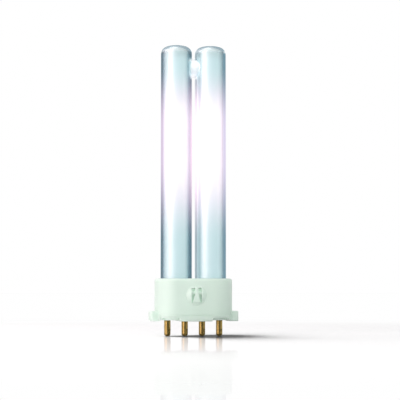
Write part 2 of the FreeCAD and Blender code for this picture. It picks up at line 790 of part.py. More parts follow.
def make_parts():
    """Every sub-part, in the order in which the lamp is put together."""
    bodies = [make_discharge_tube(), make_base_housing()]
    for label, side in (("limb_cement_left", "-"), ("limb_cement_right", "")):
        bodies.append(make_limb_cement(label, side))
    bodies.append(make_bottom_cover())
    for pin in range(PIN_COUNT):
        x = f"{pin - (PIN_COUNT - 1) / 2} * pin_pitch"
        limb_side = "-" if pin < PIN_COUNT / 2 else ""
        wire_side = "-" if pin % 2 == 0 else "+"
        stem_x = f"{limb_side}limb_axis_x {wire_side} wire_stem_x"
        bodies.append(make_contact_pin(f"contact_pin_{pin + 1}", x))
        bodies.append(make_lead_wire(f"lead_wire_{pin + 1}", x, stem_x))
    return bodies


def check(bodies):
    """Stops the build where a feature failed or a sub-part is not one valid solid."""
    for item in document.Objects:
        if {"Invalid", "Error"} & set(item.State):
            sys.exit(f"{item.Label} failed: {item.State}")
    for body in bodies:
        shape = body.Shape
        if shape.isNull() or not shape.isValid() or len(shape.Solids) != 1:
            sys.exit(f"{body.Label} is not one valid solid")
        print(f"{body.Label}: {shape.Volume:.2f} mm3")


parts = make_parts()
document.recompute()
check(parts)
os.makedirs("parts", exist_ok=True)
for part in parts:
    part.Shape.exportStep(f"parts/{part.Label}.step")
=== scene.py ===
"""Four pin compact fluorescent lamp: the phosphor coat, contact pins, finishes and stage, laid out as an add-on.

Everything is in metres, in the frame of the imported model: +Z runs up the limbs, +X along the row of pins, and the
front of the base faces -Y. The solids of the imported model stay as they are; what is made here is placed by them.
"""
import math
from typing import NamedTuple

import bmesh
import bpy
from bpy.props import FloatProperty, FloatVectorProperty, IntProperty, PointerProperty
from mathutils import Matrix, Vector


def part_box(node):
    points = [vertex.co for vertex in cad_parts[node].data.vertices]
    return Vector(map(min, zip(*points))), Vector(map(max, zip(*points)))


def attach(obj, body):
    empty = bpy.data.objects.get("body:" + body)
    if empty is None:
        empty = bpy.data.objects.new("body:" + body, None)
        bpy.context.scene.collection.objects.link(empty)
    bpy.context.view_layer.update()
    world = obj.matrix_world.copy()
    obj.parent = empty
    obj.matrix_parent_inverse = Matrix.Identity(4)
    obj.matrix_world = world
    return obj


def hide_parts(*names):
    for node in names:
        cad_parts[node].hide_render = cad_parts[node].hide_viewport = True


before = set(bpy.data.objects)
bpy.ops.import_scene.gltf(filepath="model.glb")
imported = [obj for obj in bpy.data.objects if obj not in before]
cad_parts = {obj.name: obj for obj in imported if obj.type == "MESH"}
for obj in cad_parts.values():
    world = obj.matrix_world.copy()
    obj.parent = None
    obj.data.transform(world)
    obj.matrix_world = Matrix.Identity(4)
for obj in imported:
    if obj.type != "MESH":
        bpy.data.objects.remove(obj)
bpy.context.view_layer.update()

bl_info = {
    "name": "Four Pin Compact Fluorescent Lamp",
    "version": (1, 0, 0),
    "blender": (4, 5, 0),
    "location": "View3D > Sidebar > Lamp",
    "description": "Builds the visible pieces, finishes and stage of a four pin compact fluorescent lamp",
    "category": "Add Mesh",
}

TUBE_LOW, TUBE_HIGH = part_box("discharge_tube")
PIN_LOW, PIN_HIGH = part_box("contact_pin_1")
PIN_NODES = ("contact_pin_1", "contact_pin_2", "contact_pin_3", "contact_pin_4")
WIRE_NODES = ("lead_wire_1", "lead_wire_2", "lead_wire_3", "lead_wire_4")
CEMENT_NODES = ("limb_cement_left", "limb_cement_right")
MM = 0.001
MOST_BRIGHT = 20.0
SHARPEST_SMOOTH = math.radians(35.0)
WHITE = (1.0, 1.0, 1.0, 1.0)
BLACK = (0.0, 0.0, 0.0, 1.0)

# The bridge: its fillet, the reach of its clear glass from the middle of the gap between the limbs, and how much
# further its lens-shaped ends reach
BRIDGE_FILLET = 0.6 * MM
BRIDGE_GAP = 0.8 * MM
BRIDGE_LENS_REACH = 0.6 * MM

# The flanks beside the bridge have a dome's tint, which fades at these distances from the middle of the gap, and over
# this much height at either end
BESIDE_GAP = (2.0 * MM, 3.0 * MM)
BRIDGE_BLUR = 1.0 * MM

# The coat's foot: its height above the lowest glass and the width of its flat rim. The rows are those of its points
COAT_FOOT_HEIGHT = 2.0 * MM
COAT_FOOT_RIM = 1.0 * MM
COAT_ROWS = 24
KNUCKLE_ROWS = 12
CROWN_ROWS = 16
TIP_ROWS = 10
BRIDGE_SEGMENTS = 48

# How far a dimple can reach above and below its middle, in radii of the punch, and the rows of points there
DIMPLE_REACH = 1.4
DIMPLE_ROWS = 36

# The floor's painted shadow, which darkens the floor's colour: directions of the light that it stands for, round
# which the floor's openness to the sky is measured, the openness at which it is deepest and at which it ends, and the
# share of light that is left where it is deepest
PAINTED_SHADOW_DIRECTIONS = ((-0.63, 0.64, 0.43), (-0.90, 0.05, 0.43), (-0.30, 0.90, 0.30))
SHADOW_OPENNESS = (0.66, 0.885)
DEEPEST_SHADOW = 0.18

# Left of the lamp the painted shadow fades out between these places along X, by this much openness. Through the
# painted shadow, glossy rays see no less than half of the floor's light
LIT_SIDE = (-12.0 * MM, 8.0 * MM)
LIT_SIDE_OPENNESS = 0.16
GLOSSY_LEAST = 0.5
FLOOR_HALF_SIZE = 6.0

# On the clear wall, facing runs from 0 where it is seen straight on to 1 where it is seen along its surface. These
# are the facings between which the edge's tint and the edge's light rise, and the stops of a dome's tint
EDGE_TINT = (0.10, 0.52)
EDGE_LIGHT = (0.05, 0.5)
LIP_FROM, LIP, LIP_END, LIP_TO = 0.10, 0.40, 0.46, 0.52
OUTLINE_FROM, OUTLINE = 0.84, 0.97

# The same for the floor: the facings between which its mirroring rises from its least share to all of it
GRAZING = (0.5, 0.9)
LEAST_MIRRORED = 0.1

# The painted dark reflection, a patch of floor that only glossy rays see dark, standing in for a dark card: the turns
# from the front in degrees where it begins and ends, and its distances from the lamp's axis
PAINTED_DARK_LEFT = (-45.0, -15.0)
PAINTED_DARK_RIGHT = (35.0, 65.0)
PAINTED_DARK_INNER = (12.0 * MM, 30.0 * MM)
PAINTED_DARK_SHARE = 0.9


class SoftLight(NamedTuple):
    """A rectangular light that faces the middle of the lamp: angles in degrees, sizes in metres."""

    name: str
    azimuth: float
    elevation: float
    distance: float
    width: float
    height: float
    power: str
    shade: str
    switched_off: str = ""


# Power and shade name a property of the stage, and switched_off the rays for which the light isn't there
LIGHTS = (
    SoftLight("key_light", -51.0, 20.0, 0.7, 0.45, 0.5, "key_power", "warm_colour"),
    SoftLight("side_light", -112.0, 34.0, 0.7, 0.5, 0.35, "side_power", "warm_colour"),
    SoftLight("front_light", 2.0, 5.0, 0.9, 0.3, 0.3, "front_power", "cool_colour", "visible_glossy"),
    SoftLight("right_light", 62.0, 12.0, 0.8, 0.4, 0.4, "right_power", "cool_colour", "visible_glossy"),
    SoftLight("top_light", -70.0, 75.0, 0.8, 0.5, 0.5, "top_power", "top_colour"),
    SoftLight("gloss_card", -49.0, 5.0, 0.7, 0.32, 0.6, "card_power", "gloss_colour", "visible_diffuse"),
    SoftLight("gloss_wing", -88.0, 5.0, 0.7, 0.7, 0.6, "wing_power", "gloss_colour", "visible_diffuse"),
)


# Sizes, colours and lights that a user would change


def length(name, description, default):
    return FloatProperty(
        name=name, description=description, default=default, min=0.0, subtype="DISTANCE", unit="LENGTH"
    )


def colour(name, description, default):
    return FloatVectorProperty(
        name=name, description=description, default=default, size=3, min=0.0, max=1.0, subtype="COLOR"
    )


def share(name, description, default):
    return FloatProperty(name=name, description=description, default=default, min=0.0, max=1.0, subtype="FACTOR")


def angle(name, description, default):
    """The default is in degrees."""
    return FloatProperty(
        name=name, description=description, default=math.radians(default), subtype="ANGLE", unit="ROTATION"
    )


def faces_round(description):
    return IntProperty(name="Segments", description=description, default=96, min=24, max=256)


def strength(name, description, default):
    return FloatProperty(name=name, description=description, default=default, min=0.0, max=MOST_BRIGHT)


def power(name, description, default):
    return FloatProperty(name=name, description=description, default=default, min=0.0, unit="POWER")


class LampTube(bpy.types.PropertyGroup):
    """Sizes and colours of the coated glass tube."""

    wall: length("Glass Wall", "Thickness of the clear glass outside the coat", 0.85 * MM)
    crown_radius: length("Crown Radius", "Radius of the flat crown of each limb's dome", 14.4 * MM)
    knuckle_radius: length("Knuckle Radius", "Radius between a limb's crown and its side", 3.0 * MM)
    coat_rounding: length("Coat Rounding", "How much rounder the coat's knuckle is than the wall makes it", 1.0 * MM)
    bridge_below_top: length("Bridge Below Top", "Distance from the limbs' top to the bridge's axis", 9.25 * MM)
    bridge_diameter: length("Bridge Diameter", "Outer diameter of the bridge between the limbs", 7.4 * MM)
    segments: faces_round("Faces round each limb's coat")
    coat_colour: colour("Coat Colour", "Colour of the phosphor coat by day", (0.66, 0.77, 0.785))
    wall_colour: colour("Wall Colour", "Colour of the clear wall seen straight on", (0.96, 0.99, 0.99))
    edge_colour: colour("Edge Colour", "Colour of the clear wall seen along its surface", (0.095, 0.235, 0.31))
    lip_colour: colour("Lip Colour", "Colour of the domes' wall over the rim of the coat", (0.76, 0.87, 0.90))
    # Painted shade: the lip takes this darker colour on the domes' side away from the lights
    dark_lip_colour: colour("Dark Lip Colour", "The same on the domes' shaded side", (0.60, 0.74, 0.78))
    crown_colour: colour("Crown Colour", "Colour of the domes' wall seen along its surface", (0.88, 0.94, 0.95))
    bridge_colour: colour("Bridge Colour", "Colour of the clear glass of the bridge", (0.98, 0.99, 1.0))
    bridge_glow: colour("Bridge Glow", "Light of the discharge where it crosses the bridge", (0.55, 0.50, 0.52))
    glow_colour: colour("Glow Colour", "Colour of the coat's light where the glow is full", (1.0, 0.45, 0.42))
    half_glow_colour: colour("Half Glow Colour", "Colour of the coat's light where it fades", (1.0, 0.20, 0.34))
    glow: strength("Glow", "Strength of the light at the brightest height", 0.43)
    end_colour: colour("End Colour", "Colour of the faint light at the ends of the limbs", (0.70, 0.97, 1.0))
    end_glow: strength("End Glow", "Strength of the faint light at the ends", 0.27)
    wall_glow_colour: colour("Wall Glow Colour", "Colour of the light carried in the clear wall", (1.0, 0.60, 0.74))
    wall_glow: strength("Wall Glow", "Strength of the light carried in the wall, along its surface", 0.5)
    # Painted light: the right limb's flank beside the gap gives off this light, for the light it catches from the
    # left limb
    flank_colour: colour("Flank Colour", "Colour of the light that the right limb catches", (1.0, 0.9, 0.86))
    flank_glow: strength("Flank Glow", "Strength of the light that the right limb catches from the left one", 0.3)
    dome_shade: length("Dome Shade", "Height under the top over which the light of the coat fades", 7.0 * MM)
    glow_bottom: length("Glow Bottom", "Height above the seating face where the glow begins", 31.0 * MM)
    glow_full_from: length("Full Glow From", "Height where the glow becomes full", 66.0 * MM)
    glow_full_to: length("Full Glow To", "Height where the glow begins to fade again", 78.0 * MM)
    glow_top: length("Glow Top", "Height where the glow ends", 103.0 * MM)


class LampBase(bpy.types.PropertyGroup):
    """Colours of the moulded base, its cement and its wires."""

    plastic_colour: colour("Plastic Colour", "Colour of the moulded housing and cover", (0.70, 0.83, 0.74))
    plastic_roughness: share("Plastic Roughness", "Roughness of the moulded plastic", 0.42)
    plastic_depth_share: share("Plastic Translucency", "Share of the light scattered below the surface", 0.5)
    plastic_depth: length("Plastic Depth", "How far light goes below the surface of the plastic", 2.0 * MM)
    # Painted light: slots and creases, where plastic within this reach hides the sky, give off light in the plastic's
    # colour
    painted_slot_light_reach: length("Slot Depth", "How near other plastic is where light passes through to it", 1.2 * MM)
    painted_slot_light: strength("Light Through", "Lamp light that reaches slots and creases through the plastic", 0.17)
    cement_colour: colour("Cement Colour", "Colour of the basing cement", (0.72, 0.69, 0.62))
    wire_colour: colour("Wire Colour", "Colour of the nickel-plated lead wires", (0.66, 0.63, 0.58))


class LampPins(bpy.types.PropertyGroup):
    """Sizes and colour of the contact pins."""

    diameter: length("Pin Diameter", "Outer diameter of a contact pin", 2.6 * MM)
    tip_rounding: length("Tip Rounding", "Radius of the edge at the tip", 0.9 * MM)
    tip_thickness: length("Tip Thickness", "Thickness of the closed tip under the bore", 0.9 * MM)
    shank_height: length("Shank Height", "Height above the seating face where the shank begins", 0.45 * MM)
    shank_diameter: length("Shank Diameter", "Diameter of the part that sits in the cover", 3.0 * MM)
    flange_thickness: length("Flange Thickness", "Thickness of the flange that rests on the boss", 0.6 * MM)
    bore_diameter: length("Bore Diameter", "Diameter of the bore for the lead wire", 1.5 * MM)
    crimp_above_tip: length("Crimp Height", "Height of the crimp dimples above the tip", 2.1 * MM)
    crimp_radius: length("Crimp Radius", "Radius of the punch that makes a dimple", 0.9 * MM)
    crimp_depth: length("Crimp Depth", "Depth of a dimple", 0.35 * MM)
    crimp_turn: angle("Crimp Turn", "Direction of the first dimple, seen from above", -45.0)
    segments: faces_round("Faces round each pin")
    brass_colour: colour("Brass Colour", "Colour of the drawn brass", (0.345, 0.25, 0.08))


class LampStage(bpy.types.PropertyGroup):
    """Floor, lights and camera."""

    view_azimuth: angle("View Azimuth", "Direction of the camera from the front of the lamp", -8.0)
    view_distance: length("View Distance", "Distance of the camera from the lamp's axis", 0.55)
    view_height: length("View Height", "Height of the camera above the seating face", 13.0 * MM)
    aim_height: length("Aim Height", "Height of the middle of the picture above the seating face", 48.66 * MM)
    aim_right: length("Aim Right", "Distance from the lamp's axis to the middle of the picture", 2.68 * MM)
    picture_width: length("Picture Width", "Width of the picture at the lamp's axis", 161.5 * MM)
    fill: share("Fill Light", "Strength of the soft light from all round", 0.43)
    key_power: power("Key Power", "Power of the large soft light at the front left", 1.5)
    side_power: power("Side Power", "Power of the light at the left", 1.0)
    top_power: power("Top Power", "Power of the light overhead", 2.0)
    front_power: power("Front Power", "Power of the small light beside the camera", 1.7)
    right_power: power("Right Power", "Power of the weak light at the right", 0.35)
    card_power: power("Card Power", "Power of the card that only glossy surfaces show", 1.9)
    wing_power: power("Wing Power", "Power of the wider card beside it", 1.3)
    warm_colour: colour("Warm Colour", "Colour of the lights at the left", (1.0, 0.88, 0.91))
    top_colour: colour("Top Colour", "Colour of the light overhead", (1.0, 1.0, 1.0))
    gloss_colour: colour("Gloss Colour", "Colour of the cards that only glossy surfaces show", (1.0, 0.66, 0.70))
    cool_colour: colour("Cool Colour", "Colour of the lights at the front and right", (0.90, 1.0, 0.97))
    floor_reach: length("Floor Reach", "Distance from the lamp where the floor begins to fade into white", 0.10)
    far_shine: share("Far Shine", "Share of the light mirrored by the floor away from the lamp", 0.12)
    floor_shine: share("Floor Shine", "Share of the floor's light that is mirrored at the lamp", 0.5)
    floor_lift: share("Floor Lift", "Light that the floor gives off where it is seen, to keep it white", 0.13)
    # Painted shadow: how far from the lamp the floor's colour is darkened
    painted_shadow_reach: length("Contact Reach", "How far away the lamp still deepens the floor's shadow", 0.12)


GROUPS = {"lamp_tube": LampTube, "lamp_base": LampBase, "lamp_pins": LampPins, "lamp_stage": LampStage}


# Node trees and meshes


def add(tree, kind, *values, into=None, **settings):
    """Adds a node. The values go to its inputs in order, and those in into by name; a socket is linked."""
    made = tree.nodes.new(kind)
    for name, value in settings.items():
        setattr(made, name, value)
    pairs = list(zip(made.inputs, values)) + [(made.inputs[name], value) for name, value in (into or {}).items()]
    for socket, value in pairs:
        if isinstance(value, bpy.types.NodeSocket):
            tree.links.new(value, socket)
        elif value is not None:
            socket.default_value = value
    return made


def math_node(tree, operation, *values):
    return add(tree, "ShaderNodeMath", *values, operation=operation).outputs[0]


def opaque(rgb):
    return (*rgb, 1.0)


def new_material(name):
    """An empty node material, its tree and its output node."""
    material = bpy.data.materials.new(name)
    material.use_nodes = True
    tree = material.node_tree
    tree.nodes.clear()
    return material, tree, tree.nodes.new("ShaderNodeOutputMaterial")


def object_noise(tree, scale, detail=3.0, roughness=0.5, stretch=(1.0, 1.0, 1.0)):
    """Noise on the piece's own coordinates, stretched along an axis where a finish runs that way."""
    place = add(tree, "ShaderNodeTexCoord").outputs["Object"]
    mapped = add(tree, "ShaderNodeMapping", into={"Vector": place, "Scale": stretch}).outputs["Vector"]
    return add(
        tree, "ShaderNodeTexNoise",
        into={"Vector": mapped, "Scale": scale, "Detail": detail, "Roughness": roughness},
    ).outputs["Fac"]


def object_place(tree, source="Object"):
    """X, Y and Z of the place on the piece, or with "Normal" of the direction in which its surface faces."""
    return add(tree, "ShaderNodeSeparateXYZ", add(tree, "ShaderNodeTexCoord").outputs[source]).outputs


def product(tree, first, *others):
    """The product of two or more values."""
    for other in others:
        first = math_node(tree, "MULTIPLY", first, other)
    return first


def ease(tree, value, low, high, to_low=0.0, to_high=1.0):
    """A smooth rise or fall of value's share between low and high."""
    return add(
        tree, "ShaderNodeMapRange", interpolation_type="SMOOTHSTEP",
        into={"Value": value, "From Min": low, "From Max": high, "To Min": to_low, "To Max": to_high},
    ).outputs["Result"]


def mix_colours(tree, factor, first, second):
    made = add(tree, "ShaderNodeMix", data_type="RGBA")
    for socket, value in zip((made.inputs[0], made.inputs[6], made.inputs[7]), (factor, first, second)):
        if isinstance(value, bpy.types.NodeSocket):
            tree.links.new(value, socket)
        else:
            socket.default_value = value
    return made.outputs[2]


def ramp(tree, value, *stops):
    """A colour ramp with the given places and colours."""
    made = add(tree, "ShaderNodeValToRGB", value)
    places = made.color_ramp.elements
    while len(places) < len(stops):
        places.new(1.0)
    for element, stop in zip(places, stops):
        element.position = stop[0]
    for element, stop in zip(places, stops):
        element.color = stop[1]
    return made.outputs["Color"]


def bump(tree, height, distance):
    return add(tree, "ShaderNodeBump", into={"Height": height, "Distance": distance}).outputs["Normal"]


def dress(node, material):
    """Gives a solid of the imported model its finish."""
    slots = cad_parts[node].material_slots
    if not slots:
        raise RuntimeError(f"{node} has no material slot to dress")
    for slot in slots:
        slot.material = material


def new_object(name, data):
    piece = bpy.data.objects.new(name, data)
    bpy.context.scene.collection.objects.link(piece)
    return piece


def outline_object(name, points):
    """A polyline through points of radius and height, as the outline of a turned piece."""
    mesh = bpy.data.meshes.new(name)
    edges = [(n, n + 1) for n in range(len(points) - 1)]
    mesh.from_pydata([(radius, 0.0, height) for radius, height in points], edges, [])
    return new_object(name, mesh)


def turned_tree():
    """Turns an outline round Z, presses two round dimples into it, and puts it in its place."""
    made = bpy.data.node_groups.get("turned_piece")
    if made:
        return made
    tree = bpy.data.node_groups.new("turned_piece", "GeometryNodeTree")
    tree.interface.new_socket("Outline", in_out="INPUT", socket_type="NodeSocketGeometry")
    for name, kind, value in (
        ("Segments", "NodeSocketInt", 96),
        ("Place", "NodeSocketVector", (0.0, 0.0, 0.0)),
        ("Dimple Place", "NodeSocketVector", (0.0, 0.0, 0.0)),
        ("Dimple Radius", "NodeSocketFloat", 0.0),
        ("Finish", "NodeSocketMaterial", None),
    ):
        socket = tree.interface.new_socket(name, in_out="INPUT", socket_type=kind)
        if value is not None:
            socket.default_value = value
    tree.interface.new_socket("Piece", in_out="OUTPUT", socket_type="NodeSocketGeometry")
    given = tree.nodes.new("NodeGroupInput").outputs

    rows = add(tree, "GeometryNodeAttributeDomainSize", given["Outline"], component="MESH").outputs["Point Count"]
    columns = math_node(tree, "ADD", given["Segments"], 1.0)
    sheet = add(tree, "GeometryNodeMeshGrid", 1.0, 1.0, columns, rows).outputs["Mesh"]
    index = add(tree, "GeometryNodeInputIndex").outputs[0]
    row = math_node(tree, "MODULO", index, rows)
    column = math_node(tree, "FLOOR", math_node(tree, "DIVIDE", index, rows))
    turn = math_node(tree, "MULTIPLY", math_node(tree, "DIVIDE", column, given["Segments"]), math.tau)
    places = add(tree, "GeometryNodeInputPosition").outputs[0]
    point = add(
        tree, "GeometryNodeSampleIndex", data_type="FLOAT_VECTOR",
        into={"Geometry": given["Outline"], "Value": places, "Index": row},
    ).outputs["Value"]
    split = add(tree, "ShaderNodeSeparateXYZ", point).outputs
    across = math_node(tree, "MULTIPLY", split["X"], math_node(tree, "COSINE", turn))
    along = math_node(tree, "MULTIPLY", split["X"], math_node(tree, "SINE", turn))
    round_place = add(tree, "ShaderNodeCombineXYZ", across, along, split["Z"]).outputs[0]
    turned = add(tree, "GeometryNodeSetPosition", into={"Geometry": sheet, "Position": round_place}).outputs[0]
    whole = add(tree, "GeometryNodeMergeByDistance", into={"Geometry": turned, "Distance": 1e-7}).outputs[0]

    # A point inside the punch moves to the punch's surface, on either side of the axis
    for side in (1.0, -1.0):
        mirrored = (side, side, 1.0)
        centre = add(tree, "ShaderNodeVectorMath", given["Dimple Place"], mirrored, operation="MULTIPLY").outputs[0]
        here = add(tree, "GeometryNodeInputPosition").outputs[0]
        apart = add(tree, "ShaderNodeVectorMath", here, centre, operation="SUBTRACT").outputs[0]
        distance = add(tree, "ShaderNodeVectorMath", apart, operation="LENGTH").outputs["Value"]
        inside = add(tree, "FunctionNodeCompare", distance, given["Dimple Radius"], operation="LESS_THAN").outputs[0]
        out = add(tree, "ShaderNodeVectorMath", apart, operation="NORMALIZE").outputs[0]
        reach = {"Scale": given["Dimple Radius"]}
        scaled = add(tree, "ShaderNodeVectorMath", out, operation="SCALE", into=reach).outputs[0]
        surface = add(tree, "ShaderNodeVectorMath", centre, scaled, operation="ADD").outputs[0]
        whole = add(
            tree, "GeometryNodeSetPosition", into={"Geometry": whole, "Selection": inside, "Position": surface}
        ).outputs[0]

    placed = add(tree, "GeometryNodeTransform", into={"Geometry": whole, "Translation": given["Place"]}).outputs[0]
    real = add(tree, "GeometryNodeRealizeInstances", placed).outputs[0]
    finished = add(tree, "GeometryNodeSetMaterial", into={"Geometry": real, "Material": given["Finish"]}).outputs[0]
    add(tree, "NodeGroupOutput", finished)
    return tree


def turned_mesh(name, tree, points, material, **inputs):
    """The plain mesh that the tree makes of an outline, closed and facing outwards."""
    outline = outline_object(f"{name}_outline", points)
    modifier = outline.modifiers.new("turn", "NODES")
    modifier.node_group = tree
    sockets = {item.name: item.identifier for item in tree.interface.items_tree if item.in_out == "INPUT"}
    modifier[sockets["Finish"]] = material
    for label, value in inputs.items():
        modifier[sockets[label.replace("_", " ")]] = value
    evaluated = outline.evaluated_get(bpy.context.evaluated_depsgraph_get())
    mesh = bpy.data.meshes.new_from_object(evaluated)
    mesh.name = name
    bpy.data.objects.remove(outline)
    close_outwards(mesh)
    return mesh


def close_outwards(mesh):
    """Merges doubles and turns all faces outwards."""
    shape = bmesh.new()
    shape.from_mesh(mesh)
    bmesh.ops.remove_doubles(shape, verts=shape.verts, dist=1e-6)
    bmesh.ops.recalc_face_normals(shape, faces=shape.faces)
    shape.to_mesh(mesh)
    shape.free()
    mesh.shade_smooth()
    mesh.set_sharp_from_angle(angle=SHARPEST_SMOOTH)


def arc(centre, radius, start, stop, steps):
    """Points of radius and height on an arc, with angles in degrees from the outward direction."""
    return [
        (
            centre[0] + radius * math.cos(math.radians(start + (stop - start) * n / steps)),
            centre[1] + radius * math.sin(math.radians(start + (stop - start) * n / steps)),
        )
        for n in range(steps + 1)
    ]


def coat_outline(tube, limb_radius):
    """The coat's outline from its foot up to its crown: the glass outline moved in by the wall."""
    top = TUBE_HIGH.z
    crown = tube.crown_radius - tube.wall
    knuckle = tube.knuckle_radius - tube.wall + tube.coat_rounding
    side = limb_radius - tube.wall
    knuckle_reach = side - knuckle
    crown_to_knuckle = crown - knuckle
    if crown_to_knuckle <= knuckle_reach:
        raise RuntimeError("the crown radius is too small for this limb")
    crown_z = top - tube.crown_radius
    knuckle_z = crown_z + math.sqrt(crown_to_knuckle**2 - knuckle_reach**2)
    lean = math.degrees(math.acos(knuckle_reach / crown_to_knuckle))
    foot = TUBE_LOW.z + COAT_FOOT_HEIGHT
    rim = [(0.0, foot), (side - COAT_FOOT_RIM, foot)]
    straight = [(side, foot + (knuckle_z - foot) * n / COAT_ROWS) for n in range(COAT_ROWS)]
    rounded = arc((knuckle_reach, knuckle_z), knuckle, 0.0, lean, KNUCKLE_ROWS)
    return rim + straight + rounded + arc((0.0, crown_z), crown, lean, 90.0, CROWN_ROWS)[1:]


def join_solids(piece, other):
    """Joins another closed object into a piece and deletes it."""
    modifier = piece.modifiers.new("join", "BOOLEAN")
    modifier.operation = "UNION"
    modifier.solver = "EXACT"
    modifier.object = other
    evaluated = piece.evaluated_get(bpy.context.evaluated_depsgraph_get())
    joined = bpy.data.meshes.new_from_object(evaluated)
    piece.modifiers.remove(modifier)
    piece.data = joined
    bpy.data.objects.remove(other)
    if not joined.polygons:
        raise RuntimeError(f"{piece.name} lost its faces when it was joined")


# Finishes


def glow_share(tree, tube):
    """The share of the full glow at each height of the tube."""
    height = object_place(tree)["Z"]
    rise = ease(tree, height, tube.glow_bottom, tube.glow_full_from)
    fall = ease(tree, height, tube.glow_full_to, tube.glow_top, 1.0, 0.0)
    return product(tree, rise, fall)


def bridge_share(tree, tube):
    """One in the clear glass of the bridge and its lens-shaped ends, and nought on the limbs."""
    place = object_place(tree)
    sideways = math_node(tree, "SUBTRACT", math_node(tree, "ABSOLUTE", place["X"]), BRIDGE_GAP)
    sideways = math_node(tree, "DIVIDE", math_node(tree, "MAXIMUM", sideways, 0.0), BRIDGE_LENS_REACH)
    axis_height = TUBE_HIGH.z - tube.bridge_below_top
    half_height = tube.bridge_diameter / 2 + BRIDGE_FILLET
    upwards = math_node(tree, "DIVIDE", math_node(tree, "SUBTRACT", place["Z"], axis_height), half_height)
    both = add(tree, "ShaderNodeCombineXYZ", sideways, 0.0, upwards).outputs[0]
    distance = add(tree, "ShaderNodeVectorMath", both, operation="LENGTH").outputs["Value"]
    return ease(tree, distance, 0.75, 1.15, 1.0, 0.0)


def beside_bridge(tree, tube, place):
    """One on the flanks of the limbs beside the bridge, and nought elsewhere."""
    low = TUBE_HIGH.z - tube.bridge_below_top - tube.bridge_diameter / 2
    high = low + tube.bridge_diameter
    near_gap = ease(tree, math_node(tree, "ABSOLUTE", place["X"]), *BESIDE_GAP, 1.0, 0.0)
    above_low = ease(tree, place["Z"], low - BRIDGE_BLUR, low + BRIDGE_BLUR)
    below_high = ease(tree, place["Z"], high - BRIDGE_BLUR, high + BRIDGE_BLUR, 1.0, 0.0)
    return product(tree, near_gap, product(tree, above_low, below_high))


def dome_tint(tree, tube, facing, normal):
    """The colour of a dome's wall: a dark line over the rim of the coat, darker on the shaded side as painted shade,
    and a grey outline.
    """
    crescent, outline = opaque(tube.wall_colour), opaque(tube.crown_colour)
    tints = []
    for lip in (opaque(tube.lip_colour), opaque(tube.dark_lip_colour)):
        line = ((LIP_FROM, crescent), (LIP, lip), (LIP_END, lip), (LIP_TO, crescent))
        tints.append(ramp(tree, facing, *line, (OUTLINE_FROM, crescent), (OUTLINE, outline)))
    shaded_side = ease(tree, normal["X"], 0.05, 0.5)
    return mix_colours(tree, shaded_side, *tints)


def clear_wall_finish(tube):
    """Clear glass, darker and bluer along its edges, with the lamp's light carried in it and painted light on the
    flanks beside the gap.
    """
    material, tree, output = new_material("clear_wall")
    facing = add(tree, "ShaderNodeLayerWeight", 0.5).outputs["Facing"]
    normal, place = object_place(tree, "Normal"), object_place(tree)

    # Painted light: the flanks beside the gap get a lighter tint than the outer edges, for the light that each limb
    # throws on the other
    right_limb = ease(tree, place["X"], -0.3 * MM, 0.3 * MM)
    left_limb = math_node(tree, "SUBTRACT", 1.0, right_limb)
    lit_left_flank = product(tree, ease(tree, normal["X"], -0.95, -0.75, 0.78, 0.0), right_limb)
    lit_right_flank = product(tree, ease(tree, normal["X"], 0.75, 0.95, 0.0, 0.6), left_limb)
    lit_flank = math_node(tree, "ADD", lit_left_flank, lit_right_flank)
    edge = mix_colours(tree, lit_flank, opaque(tube.edge_colour), opaque(tube.wall_colour))
    limb_tint = mix_colours(tree, ease(tree, facing, *EDGE_TINT), opaque(tube.wall_colour), edge)

    dome_share = math_node(
        tree, "MAXIMUM", ease(tree, normal["Z"], 0.02, 0.3), beside_bridge(tree, tube, place)
    )
    limb_tint = mix_colours(tree, dome_share, limb_tint, dome_tint(tree, tube, facing, normal))
    tint = mix_colours(tree, bridge_share(tree, tube), limb_tint, opaque(tube.bridge_colour))
    see_through = add(tree, "ShaderNodeBsdfTransparent", tint).outputs[0]

    streaks = object_noise(tree, 60.0, stretch=(1.0, 1.0, 0.05))
    gloss = add(
        tree, "ShaderNodeBsdfAnisotropic",
        into={"Color": WHITE, "Roughness": 0.4, "Normal": bump(tree, streaks, 0.02 * MM)},
    ).outputs[0]
    shine = ease(tree, facing, 0.0, 1.0, 0.15, 0.09)
    shine = math_node(tree, "ADD", shine, product(tree, dome_share, 0.14))
    glass = add(tree, "ShaderNodeMixShader", shine, see_through, gloss).outputs[0]

    edge_light = ease(tree, facing, *EDGE_LIGHT, 0.1 * tube.wall_glow, tube.wall_glow)
    carried = product(tree, glow_share(tree, tube), edge_light)
    # Painted light: the right limb's flank beside the gap gives off light, for the light it catches from the left
    # limb
    painted_caught_light = product(tree, lit_left_flank, tube.flank_glow)
    for light_colour, light in ((tube.wall_glow_colour, carried), (tube.flank_colour, painted_caught_light)):
        lit = add(tree, "ShaderNodeEmission", opaque(light_colour), light).outputs[0]
        glass = add(tree, "ShaderNodeAddShader", glass, lit).outputs[0]
    tree.links.new(glass, output.inputs["Surface"])
    return material


def principled(tree, output, **inputs):
    """Ends a material in a Principled shader; an underscore in a name stands for a space."""
    named = {name.replace("_", " "): value for name, value in inputs.items()}
    shader = add(tree, "ShaderNodeBsdfPrincipled", into=named)
    tree.links.new(shader.outputs[0], output.inputs["Surface"])


def mottled(tree, noise, low, high, shade, factor):
    """A colour that changes to itself times factor where the noise is high."""
    return mix_colours(tree, ease(tree, noise, low, high), opaque(shade), opaque([factor * c for c in shade]))


